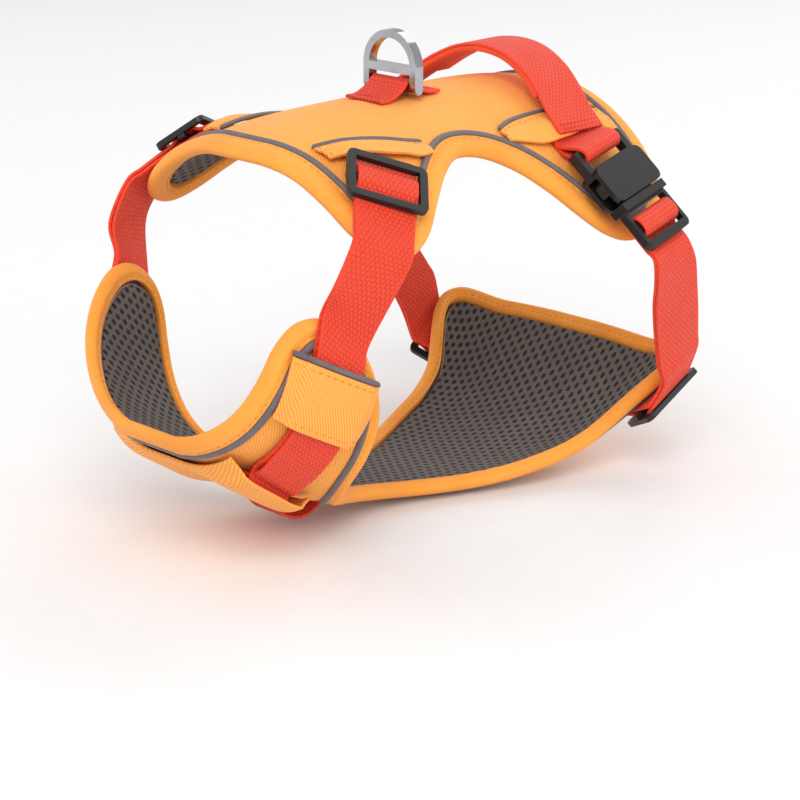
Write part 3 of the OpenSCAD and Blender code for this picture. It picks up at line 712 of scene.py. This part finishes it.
@dataclass
class PaddedPanel:
    """Shell, foam, mesh lining, folded binding and piping of one pad."""

    name: str
    pattern: Pattern
    finishes: Finishes
    steps: int = 6
    thick: float = 4.6
    skin: float = 0.8
    groove: float = 1.25
    bind: float = 6.4
    bead: float = 1.25
    seam_in: float = 1.6

    def outline(self, distance: float) -> list[tuple[float, float]]:
        """Left half outline of the pad moved in by a distance."""
        return inset(smooth_line(self.pattern.edge, self.steps), distance, self.steps // 2)

    def all_round(self, distance: float) -> list[tuple[float, float]]:
        """Outline all the way round, moved in by a distance."""
        half = self.outline(distance)
        return half + [(-u, v) for u, v in reversed(half)]

    def skin_layer(self, name: str, height: float, puff: float, thick: float,
                   dress: bpy.types.Material) -> bpy.types.Object:
        """A layer of the pad inside its binding.

        Args:
            name: Name of the piece.
            height: Height of the middle of the layer.
            puff: How far the padding lifts it between its edges.
            thick: Its thickness.
            dress: Its finish.

        Returns:
            The piece.
        """
        line = self.outline(self.pattern.rim + self.groove - 0.6)
        last = len(line) - 1

        def flat(s: float, t: float) -> tuple[float, float]:
            """Flat place of a share of the width and length."""
            u, v = line[int(round(t * last))]
            return (2 * s - 1) * u, v

        def place(s: float, t: float) -> Vector:
            """Point on the pad."""
            u, v = flat(s, t)
            full = abs(line[int(round(t * last))][0])
            near = max(min((full - abs(u)) / 7, t * last / 10, (1 - t) * last / 10, 1.0), 0.0)
            soft = puff * (near * (2 - near) - 1)
            soft += 0.12 * puff * math.sin(u / 6.1 + 1.3) * math.sin(v / 7.7 + u / 19)
            return self.pattern.wrap(u, v, height + soft)

        obj = surface(name, 88, last, place, flat)
        thicken(obj, thick, 0.25)
        obj.data.materials.append(dress)
        return obj

    def band(self, name: str, section: Sequence[tuple[float, float]],
             dress: bpy.types.Material, pucker: float = 0.0) -> bpy.types.Object:
        """A closed band round the pad.

        Args:
            name: Name of the piece.
            section: Closed outline of its section: distance in from the outer edge, and height.
            dress: Its finish.
            pucker: Depth of the small folds at the seam.

        Returns:
            The piece.
        """
        lines = [self.all_round(d) for d, _ in section]
        count = 2 * len(self.outline(0))
        span = len(section)
        far = [0.0]
        ring = self.all_round(self.pattern.rim / 2)
        for i in range(count):
            a, b = ring[i], ring[(i + 1) % count]
            far.append(far[-1] + math.hypot(a[0] - b[0], a[1] - b[1]))
        round_off = [0.0]
        for i in range(span):
            a, b = section[i], section[(i + 1) % span]
            round_off.append(round_off[-1] + math.hypot(a[0] - b[0], a[1] - b[1]))

        def flat(s: float, t: float) -> tuple[float, float]:
            """Measures round the section and along the band."""
            return round_off[int(round(s * span))], far[int(round(t * count))]

        def place(s: float, t: float) -> Vector:
            """Point on the band."""
            k, i = int(round(s * span)) % span, int(round(t * count)) % count
            (d, h), (u, v), run = section[k], lines[k][i], far[i]
            seam = max(0.0, 1 - abs(d - self.pattern.rim + 2.2) / 3.5)
            wave = math.sin(run / 1.75) * 0.6 + math.sin(run / 3.1 + 2) * 0.4
            return self.pattern.wrap(u, v, h + math.copysign(pucker * seam * wave, h))

        obj = surface(name, span, count, place, flat, tube=True, ring=True)
        obj.data.materials.append(dress)
        return obj

    def build(self) -> None:
        """Makes the layers of the pad and dresses them."""
        half, t = self.thick / 2, self.bind / 2
        inner = self.pattern.rim - self.groove
        skin_at = half - self.skin / 2
        shell = self.skin_layer(f"{self.name}_outer_cloth", skin_at, 0.35, self.skin, self.finishes.panel)
        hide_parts(f"{self.name}_shell")
        lining = self.skin_layer(f"{self.name}_mesh_lining", -skin_at, -0.35, self.skin, self.finishes.mesh)
        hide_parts(f"{self.name}_lining")
        turned_in = [(inner, t - 0.75), (inner - 0.35, t - 0.35), (inner - 0.9, t - 0.25),
                     (inner - self.seam_in, t - 0.5), (inner - 2.3, t - 0.2), (inner - 3.4, t + 0.05)]
        round_edge = [(3.0, t + 0.05), (1.9, t - 0.4), (1.0, t - 1.15), (0.45, t - 2.05), (0.2, 0.5)]
        upper = sorted(turned_in + round_edge, key=lambda p: -p[0])
        section = upper + [(d, -h) for d, h in reversed(upper)]
        binding = self.band(f"{self.name}_folded_binding", section, self.finishes.tape, 0.13)
        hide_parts(f"{self.name}_binding")
        circle = [(self.pattern.rim + self.bead * math.cos(k * math.pi / 6) * 1.05,
                   half + 0.35 + self.bead * math.sin(k * math.pi / 6)) for k in range(12)]
        piping = self.band(f"{self.name}_round_piping", circle, self.finishes.piping)
        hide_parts(f"{self.name}_piping")
        core = 2 * half - 2 * self.skin - 0.9
        foam = self.skin_layer(f"{self.name}_foam_sheet", 0, 0, core, self.finishes.foam)
        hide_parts(f"{self.name}_foam")
        for piece in (shell, lining, binding, piping, foam):
            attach(piece, "harness")
        line = inset(smooth_line(self.pattern.edge, 12), inner - self.seam_in, 6)
        whole = line + [(-u, v) for u, v in reversed(line)] + [line[0]]
        seams = [[self.pattern.wrap(u, v, h * (t - 0.42)) for u, v in whole] for h in (1, -1)]
        Seam().piece(f"{self.name}_binding_stitches", seams, self.finishes.thread)
        log.info("%s: shell, lining, binding, piping and %d seams", self.name, len(seams))


# Flat cloth on the pads -----------------------------------------------------------------------------


@dataclass
class Patch:
    """A piece of folded cloth on a pad, given as a net of rows of u, v and height."""

    node: str
    pattern: Pattern
    rows: Sequence[Sequence[Row]]
    finish: bpy.types.Material
    side: Side = Side.LEFT
    thick: float = 1.2
    across: int = 32
    along: int = 36

    def at(self, s: float, t: float) -> list[float]:
        """Pattern place and height at a share of the width and length."""
        column = [between(row, s) for row in self.rows]
        return between(column, t)

    def point(self, s: float, t: float, lift: float = 0.0) -> Vector:
        """Point of the patch, raised by a lift."""
        u, v, h = self.at(s, t)
        return self.side.turn(self.pattern.wrap(u, v, h + lift))

    def build(self) -> bpy.types.Object:
        """Makes the cloth and dresses it."""

        def flat(s: float, t: float) -> tuple[float, float]:
            """Flat place in millimetres."""
            u, v, _ = self.at(s, t)
            return u, v

        obj = surface(f"{self.node}_cloth", self.across, self.along, self.point, flat)
        thicken(obj, self.thick, 0.35)
        obj.data.materials.append(self.finish)
        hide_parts(self.node)
        log.info("%s: folded cloth", self.node)
        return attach(obj, "harness")

    def line(self, along: bool, share: float, start: float = 0.02, end: float = 0.98) -> list[Vector]:
        """Seam on the patch at a share of its width or length, just on its face."""
        steps = [start + (end - start) * k / 60 for k in range(61)]
        lift = self.thick / 2 + 0.04
        return [self.point(share, k, lift) if along else self.point(k, share, lift) for k in steps]


def flap_rows(lines: Sequence[Row], rise: float) -> list[list[Row]]:
    """Rows of a flap from v, u of its inner edge, lift and width."""
    steps = ((0, 3.2, 0), (0.25, 3.6, 1), (0.5, 4.3, rise), (0.8, 4.4, rise), (1, 4.4, rise * 1.3))
    return [[(p[1] + p[3] * k[0], p[0], k[1] + p[2] * k[2]) for k in steps] for p in lines]


SHOULDER_FLAP = flap_rows(
    ((-74, 27, 0.2, 9), (-68, 28, 1, 10), (-60, 29.5, 1.5, 11), (-50, 32.5, 1, 11), (-42, 35.5, 0.7, 10),
     (-35, 38.5, 0.2, 9), (-28, 41, 0, 6)), 1.3)
GIRTH_FLAP = flap_rows(
    ((14, 43.5, 0, 6), (22, 41, 0, 11), (30, 40, 0.2, 14.5), (38, 39.5, 1, 15.5), (50, 39, 1, 14.5),
     (62, 39, 1, 11.5), (70, 39, 0.2, 12.5), (78, 39.5, 0, 13)), 1.9)
KEEPER = [
    [(p[0] + 7.5 * k[0], p[1] + (p[2] - p[1]) * k[0], k[1])
     for k in ((0, 4.4), (0.09, 5.6), (0.17, 8), (0.5, 8.2), (0.83, 8), (0.91, 5.6), (1, 4.4))]
    for p in ((60, 8, 46), (67, 9, 47.5), (74, 10, 49), (80, 11, 50), (85, 12, 51))
]
STRIP = ((-35, 10.9), (-31, 11), (-27, 10.6), (-21, 8.8), (-15, 6.6), (-10, 5.4), (0, 5.1), (10, 5.4),
         (15, 6.6), (21, 8.8), (27, 10.6), (31, 11), (35, 10.9))


@dataclass
class PadCover:
    """Flaps, keepers and the chest strip, with the piping on their edges."""

    finishes: Finishes

    def bead(self, name: str, node: str, routes: Sequence[tuple[Pattern, Side, Sequence[Row]]],
             radius: float) -> None:
        """Piping along several routes of u, v and height, as one piece.

        Args:
            name: Name of the piece.
            node: Solid that it stands for.
            routes: Pattern, side and route of each run.
            radius: Radius of the bead.
        """
        parts = []
        for pattern, side, route in routes:

            def place(s: float, t: float, pattern: Pattern = pattern, side: Side = side,
                      route: Sequence[Row] = route) -> Vector:
                """Point on the bead."""
                u, v, h = between(route, t)
                a, b = between(route, max(t - 0.02, 0)), between(route, min(t + 0.02, 1))
                n = math.hypot(b[0] - a[0], b[1] - a[1])
                x, y = (b[0] - a[0]) / n, (b[1] - a[1]) / n
                slim = radius * min(1.0, 0.35 + 18 * min(t, 1 - t))
                c, z = slim * math.cos(2 * math.pi * s), slim * math.sin(2 * math.pi * s)
                return side.turn(pattern.wrap(u - y * c, v + x * c, h + z))

            parts.append(surface(f"{name}_run", 12, 60, place, lambda s, t: (s * 7, t * 60), tube=True))
        bm = bmesh.new()
        for part in parts:
            bm.from_mesh(part.data)
        bmesh.ops.holes_fill(bm, edges=[e for e in bm.edges if e.is_boundary], sides=0)
        bmesh.ops.recalc_face_normals(bm, faces=bm.faces)
        for part in parts:
            bpy.data.objects.remove(part)
        obj = finished(bm, name)
        obj.data.materials.append(self.finishes.piping)
        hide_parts(node)
        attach(obj, "harness")
        log.info("%s: %d runs of piping", name, len(parts))

    def build(self) -> None:
        """Makes the covers of both sides."""
        seams: list[list[Vector]] = []
        cloth = self.finishes.panel
        for side in Side:
            shoulder = Patch(f"shoulder_flap_{side.tail}", BACK, SHOULDER_FLAP, cloth, side)
            girth = Patch(f"girth_flap_{side.tail}", BACK, GIRTH_FLAP, cloth, side)
            rows = [[row[k] for row in KEEPER] for k in range(7)]
            keeper = Patch(f"keeper_{side.tail}", CHEST, rows, cloth, side)
            for patch in (shoulder, girth, keeper):
                patch.build()
            seams += [shoulder.line(True, 0.16), girth.line(True, 0.16), keeper.line(True, 0.86),
                      keeper.line(True, 0.1), shoulder.line(False, 0.05), girth.line(False, 0.96)]
        rows = [[(p[0], v, 4.7 + (p[1] - 4.7) * k) for p in STRIP]
                for v, k in ((4, 0), (8, 0.5), (12.5, 1), (27, 1), (41.5, 1), (46, 0.5), (50, 0))]
        strip = Patch("chest_strip", CHEST, rows, cloth)
        strip.build()
        seams += [strip.line(False, 0.04), strip.line(False, 0.96)]
        Seam().piece("cover_stitches", seams, self.finishes.thread)
        flaps = [(BACK, side, [(r[0][0] - 1.2, r[0][1], 3.5) for r in rows])
                 for side in Side for rows in (SHOULDER_FLAP, GIRTH_FLAP)]
        self.bead("flap_edge_piping", "flap_piping", flaps, 0.95)
        tops = [(CHEST, side, [(p[0] + 1.4, p[1], p[2]) for p in KEEPER[4]]) for side in Side]
        self.bead("keeper_edge_piping", "keeper_piping", tops, 1.15)


# Straps ---------------------------------------------------------------------------------------------


Pair = tuple[Vector, Vector]


def pair(middle: Vector, across: Vector, width: float = 25) -> Pair:
    """Edges of a strap from the middle and the direction of its width."""
    half = across.normalized() * width / 2
    return middle + half, middle - half


def laid(pattern: Pattern, route: Sequence[Row], across: tuple[float, float],
         width: float = 25) -> list[Pair]:
    """Edges of a strap that lies on a pad."""
    n = math.hypot(*across)
    x, y = across[0] / n * width / 2, across[1] / n * width / 2
    return [
        pair(pattern.wrap(u, v, h), pattern.wrap(u + x, v + y, h) - pattern.wrap(u - x, v - y, h), width)
        for u, v, h in route
    ]


@dataclass(frozen=True)
class Seat:
    """Place and axes of a fitting: length, width and outwards."""

    place: Vector
    along: Vector
    across: Vector
    out: Vector

    @staticmethod
    def facing(place: Vector, along: Vector, across: Vector) -> "Seat":
        """Seat from the exact width direction and roughly the length."""
        w = across.normalized()
        a = (along - along.dot(w) * w).normalized()
        return Seat(place, a, w, a.cross(w))

    def spot(self, x: float, z: float, y: float = 0.0) -> Vector:
        """Point in the fitting's own frame."""
        return self.place + x * self.along + y * self.across + z * self.out

    def threaded(self, points: Sequence[Row]) -> list[Pair]:
        """Edges of a strap that passes the fitting through x, z points."""
        return [pair(self.spot(x, z), self.across) for x, z in points]


GIRTH_SEAT = Seat.facing(CHEST.wrap(62, 237, 0), CHEST.wrap(61, 237, 0) - CHEST.wrap(62, 237, 0),
                         CHEST.wrap(62, 249, 0) - CHEST.wrap(62, 225, 0))
WIRE_OUTER = CHEST.wrap(30.2, 27, 6.3)
WIRE_INNER = CHEST.wrap(17, 27, 4.3)
WIRE_SEAT = Seat.facing((WIRE_OUTER + WIRE_INNER) / 2, WIRE_OUTER - WIRE_INNER,
                        CHEST.wrap(30.2, 39.5, 6.3) - CHEST.wrap(30.2, 14.5, 6.3))
WIRE_LONG = (WIRE_OUTER - WIRE_INNER).length / 2
BUCKLE_ALONG = Vector((0.66, 0.22, -0.718)).normalized()
BUCKLE_ACROSS = Vector((0, 1, 0)) - BUCKLE_ALONG.y * BUCKLE_ALONG
BUCKLE_SEAT = Seat.facing(Vector((64, 50, 50)), BUCKLE_ALONG, BUCKLE_ACROSS)
GIRTH_LINE = (
    ((93, 66, 2), (-0.02, 0.96, 0.28), (0.98, 0.1, 0.05)),
    ((89, 71.5, -10), (0.1, 0.92, 0.38), (0.96, 0.02, -0.25)),
    ((83.5, 80, -26), (0.12, 0.9, 0.42), (0.94, 0.02, -0.34)),
    ((79.5, 86.5, -39.5), (0.08, 0.88, 0.48), (0.92, 0.1, -0.4)),
    ((77.8, 90.2, -47.5), (0.04, 0.83, 0.56), (0.86, 0.1, -0.5)),
)
HANDLE = ((55.2, 50, 56.9), (51.9, 50.3, 59.8), (46, 51.8, 64.2), (37.8, 55, 70.5), (27.2, 58, 77.8),
          (14.2, 59.6, 83.7), (0, 60, 85.6))


@dataclass
class Strap:
    """A woven strap through pairs of edge points."""

    node: str
    pairs: Sequence[Pair]
    finish: bpy.types.Material
    side: Side = Side.LEFT
    thick: float = 1.3
    steps: int = 5

    def build(self) -> bpy.types.Object:
        """Makes the strap with its thickness and rounded selvedges, and dresses it."""
        one = smooth_line([p[0] for p in self.pairs], self.steps)
        two = smooth_line([p[1] for p in self.pairs], self.steps)
        left = [self.side.turn(Vector(p)) for p in one]
        right = [self.side.turn(Vector(p)) for p in two]
        last = len(left) - 1
        width = (left[0] - right[0]).length
        far = [0.0]
        for i in range(last):
            far.append(far[-1] + ((left[i + 1] + right[i + 1]) / 2 - (left[i] + right[i]) / 2).length)

        def place(s: float, t: float) -> Vector:
            """Point of the strap."""
            i = int(round(t * last))
            return left[i].lerp(right[i], s)

        def flat(s: float, t: float) -> tuple[float, float]:
            """Measures across and along the strap."""
            return s * width, far[int(round(t * last))]

        obj = surface(f"{self.node}_woven", 12, last, place, flat)
        thicken(obj, self.thick, 0.4)
        obj.data.materials.append(self.finish)
        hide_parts(self.node)
        log.info("%s: %.0f mm of strap", self.node, far[-1])
        return obj


@dataclass
class Straps:
    """Every strap, tab and handle on the harness."""

    finishes: Finishes
    under: float = 4.3
    over: float = 6.0

    def shoulder(self) -> list[Pair]:
        """Edges of the left shoulder strap, from its sewn end to its free end."""
        u, o = self.under, self.over
        down = laid(BACK, ((43, -53, u - 0.3), (46.5, -55.7, u - 0.1), (50, -58.5, u), (57, -63.8, u),
                           (65, -70, u), (72, -75.5, u), (78, -80.2, u)), (0.61, 0.79))
        inner = laid(CHEST, ((107, 33, u), (98, 32, u), (88, 31, u), (76, 29.5, u), (64, 28.5, u),
                             (52, 27.5, u), (43, 27, u), (36.5, 27, u - 0.1)), (-0.1, 1))
        bend = WIRE_SEAT.threaded([(WIRE_LONG + x, z) for x, z in (
            (2, -2.45), (0, -2.2), (-1.65, -1.55), (-2.25, 0), (-1.65, 1.5), (0, 2), (2.2, 1.5))])
        outer = laid(CHEST, ((38, 27, 7), (44, 27, 6.2), (52, 27.5, o), (64, 28.5, o), (76, 29.5, o),
                             (88, 31, o), (98, 32, o), (107, 33, o)), (-0.1, 1))
        back = laid(BACK, ((78, -80.2, o), (72, -75.5, o), (66, -70.8, o), (62.4, -68, o),
                           (60.6, -66.6, o + 0.35), (58.5, -65, 8), (56, -63, 8.2), (53.5, -61, 8),
                           (51.4, -59.4, o + 0.35), (49.8, -58.2, o), (48, -56.8, o)), (0.61, 0.79))
        way = Vector((0.33, 0.91, -0.25))
        return (down + [pair(Vector((69.2, -87.6, 19.5)), way)] + inner + bend + outer
                + [pair(Vector((70.9, -88.3, 19.8)), way)] + back)

    def girth(self) -> list[Pair]:
        """Edges of the left girth strap, from its sewn end to its free end."""
        sewn = laid(CHEST, ((35, 238, 3.1), (42, 238, 3.1), (48, 238, 3.2)), (0, 1))
        under = GIRTH_SEAT.threaded(((8, 3.9), (4, 4.3), (0, 4.4), (-4, 4.4), (-8.5, 4.3), (-12, 3.7)))
        turn = BUCKLE_SEAT.threaded((
            (50, -4.3), (45, -4.3), (38, -4.1), (34.6, -3.6), (32.2, -2.2), (31.6, 0), (32.5, 2),
            (34.6, 2.8), (36.3, 2.9), (38.2, 2.6), (39.7, 1.4), (40.3, -0.4), (40.9, -2), (42.4, -2.8),
            (45, -2.85), (50, -2.8)))
        over = GIRTH_SEAT.threaded(((-12, 5.3), (-9, 5.9), (-6.4, 6.6), (-3.8, 7.95), (0, 8.25),
                                    (3.8, 7.95), (6.4, 6.6), (9, 5.8), (14, 5)))

        def line(shift: float) -> list[Pair]:
            """Free run between slider and buckle, moved along its face direction."""
            return [pair(Vector(p) + shift * Vector(n), Vector(w)) for p, w, n in GIRTH_LINE]

        return sewn + under + line(-0.8)[::-1] + turn + line(0.8) + over

    def tab(self) -> list[Pair]:
        """Edges of the left buckle tab."""
        first = laid(BACK, ((46.5, 50, 3.1), (49, 50, 3.1), (52, 49, 3.2)), (0, 1))
        fold = BUCKLE_SEAT.threaded((
            (-8.4, -6.1), (-4.2, -4.1), (-1.2, -3.3), (1.1, -2.35), (2.1, 0), (1.1, 2.35), (-1.2, 3.3),
            (-3.5, 2.3), (-5.5, 0.2), (-8, -2.7), (-9.8, -4.6), (-11.4, -5.9)))
        last = laid(BACK, ((50.5, 49, 4.55), (48.5, 50, 4.5), (46.5, 50, 4.5)), (0, 1))
        return first + fold + last

    def handle(self, rows: Sequence[Row], drop: float) -> list[Pair]:
        """Edges of a layer of the handle, over both sides."""
        def at(p: Row, side: int) -> Pair:
            """Edges at one point of a side."""
            point = Vector((side * p[0], p[1], p[2]))
            low = Vector((side * p[0], 0, p[2] + 5)).normalized()
            return pair(point - drop * low, Vector((0.05 * side, 1, 0)))

        return [at(p, 1) for p in rows] + [at(p, -1) for p in reversed(rows[:-1])]

    def ring_tab(self) -> list[Pair]:
        """Edges of the tab that holds the leash ring."""
        wide = 21.0
        hump = ((-13, 72.9), (-9.6, 74.6), (-7.4, 76.2), (-6, 77.7), (-4, 78.3), (-2, 77.7), (-0.6, 76.2),
                (1.6, 74.6), (5, 72.9))
        return (laid(BACK, ((0, -21, 3.1), (0, -16.5, 3.1)), (1, 0), wide)
                + [pair(Vector((0, y, z)), Vector((1, 0, 0)), wide) for y, z in hump]
                + laid(BACK, ((0, 8.5, 3.1), (0, 13, 3.1)), (1, 0), wide))

    def tacks(self) -> None:
        """Bar tacks that fix the handle and the buckle tab to the back pad."""
        lines = []
        for side in Side:
            for k in (2.2, 4.4):
                at = Vector(between(HANDLE, 0.035 * k)) + Vector((0.5, 0, 0.55))
                lines.append([side.turn(at + Vector((0, y, 0))) for y in (-10.5, -5, 0, 5, 10.5)])
        for y in (-17.5, -15.3, 10.2):
            lines.append([BACK.wrap(x, y, 4.0) for x in (-9, -5, 0, 5, 9)])
        Seam(1.5, 0.5, 0.26).piece("bar_tacks", lines, self.finishes.red_thread)

    def build(self) -> None:
        """Makes the straps, and ties each, except the girth straps, to the body it moves with."""
        web = self.finishes.web
        for side in Side:
            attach(Strap(f"shoulder_strap_{side.tail}", self.shoulder(), web, side).build(), "harness")
            girth = Strap(f"girth_strap_{side.tail}", self.girth(), web, side).build()
            still, moved = Vector((77.8, 90.2, -44)) * MM, Vector((77.8, 90.2, 2)) * MM
            side.turn(still)
            side.turn(moved)
            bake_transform(girth)
            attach(Strap(f"buckle_tab_{side.tail}", self.tab(), web, side).build(), "harness")
        route = ((0, 38, 3.1), (0, 45, 3.1), (0, 51, 3.2), (0, 54.5, 4.4), (0, 58, 7.4), (0, 62.5, 10.6),
                 (0, 68.5, 12), (0, 75, 11), (0, 80.5, 7.8), (0, 84, 4.8), (0, 87.5, 3.2), (0, 91, 3.1),
                 (0, 98, 3.1))
        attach(Strap("leash_loop", laid(CHEST, route, (-1, 0), 18), self.finishes.loop).build(), "harness")
        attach(Strap("handle_webbing", self.handle(HANDLE, 0), web, steps=8).build(), "harness")
        under = self.handle(HANDLE[3:], 1.85)
        pad = Strap("handle_lining", under, self.finishes.soft_web, thick=2.2, steps=8)
        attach(pad.build(), "harness")
        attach(Strap("d_ring_tab", self.ring_tab(), web).build(), "harness")
        self.tacks()


# Fittings -------------------------------------------------------------------------------------------


@dataclass
class Fittings:
    """Sliders, rings and buckles, with moulded or polished edges."""

    finishes: Finishes
    edge: float = 0.8

    def build(self) -> None:
        """Makes every fitting from its solid and ties it to its body."""
        plastic = self.finishes.plastic
        for side in Side:
            tail = side.tail
            for kind in ("shoulder", "girth"):
                slider = moulded(f"{kind}_slider_{tail}", 0.85, f"{kind}_adjuster_{tail}", plastic)
            moulded(f"chest_ring_{tail}", 0.1, "harness", plastic)
            moulded(f"buckle_socket_{tail}", self.edge, "harness", plastic)
            moulded(f"buckle_plug_{tail}", self.edge, f"plug_{tail}", plastic)
            for end in ("front", "rear"):
                moulded(f"{end}_prong_{tail}", 0.5, f"prong_{end}_{tail}", plastic)
            log.info("fittings of the %s side", tail)
        moulded("d_ring", 0.9, "leash_ring", self.finishes.metal)


# Studio ---------------------------------------------------------------------------------------------


@dataclass
class Studio:
    """Pale floor, soft light and the camera."""

    finishes: Finishes
    azimuth: float = 45.0
    elevation: float = 15.0
    distance: float = 1.0
    lens: float = 108.0
    drop: float = -0.1725
    floor_gap: float = 0.002

    def camera(self) -> None:
        """Camera on the harness from its front left."""
        a, e = math.radians(self.azimuth), math.radians(self.elevation)
        back = Vector((math.sin(a) * math.cos(e), -math.cos(a) * math.cos(e), math.sin(e)))
        data = bpy.data.cameras.new("Camera")
        data.lens, data.sensor_width, data.shift_y = self.lens, 36.0, self.drop
        cam = bpy.data.objects.new("Camera", data)
        cam.rotation_mode = "QUATERNION"
        cam.location = back * self.distance
        cam.rotation_quaternion = (-back).to_track_quat("-Z", "Y")
        bpy.context.scene.collection.objects.link(cam)
        bpy.context.scene.camera = cam

    def light(self, name: str, place: Vector, size: float, watts: float) -> None:
        """Soft square light that faces the middle of the harness."""
        data = bpy.data.lights.new(name, "AREA")
        data.shape, data.size, data.energy = "SQUARE", size, watts
        lamp = bpy.data.objects.new(name, data)
        lamp.rotation_mode = "QUATERNION"
        lamp.location = place
        lamp.rotation_quaternion = (-place).to_track_quat("-Z", "Y")
        bpy.context.scene.collection.objects.link(lamp)

    def build(self, low_z: float) -> None:
        """Makes the studio.

        Args:
            low_z: Height of the harness's lowest point in metres.
        """
        self.camera()
        self.light("Key light", Vector((0.9, -1.0, 1.3)), 1.2, 17)
        self.light("Fill light", Vector((-1.5, -0.6, 0.7)), 1.5, 6)
        self.light("Back light", Vector((-0.3, 1.4, 1.2)), 1.2, 8)
        self.light("Side light", Vector((1.6, 0.5, 0.4)), 1.0, 6)
        world = bpy.data.worlds.new("Studio air")
        world.use_nodes = True
        world.node_tree.nodes["Background"].inputs[0].default_value = (1, 1, 1, 1)
        world.node_tree.nodes["Background"].inputs[1].default_value = 0.68
        bpy.context.scene.world = world
        bm = bmesh.new()
        level = Matrix.Translation((0, 0, low_z - self.floor_gap))
        bmesh.ops.create_grid(bm, x_segments=4, y_segments=4, size=6, matrix=level)
        floor = finished(bm, "Floor")
        floor.data.materials.append(self.finishes.floor)
        floor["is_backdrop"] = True
        bpy.context.scene.view_settings.view_transform = "Standard"


def corners() -> list[list[float]]:
    """Lowest and highest corner of the shown object."""
    return [list(corner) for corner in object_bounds()]


def main() -> None:
    """Builds the harness and its studio."""
    before = corners()
    finishes = Finishes()
    Studio(finishes).build(before[0][2])
    PaddedPanel("back", BACK, finishes).build()
    PaddedPanel("chest", CHEST, finishes).build()
    PadCover(finishes).build()
    Straps(finishes).build()
    Fittings(finishes).build()


if __name__ == "__main__":
    main()
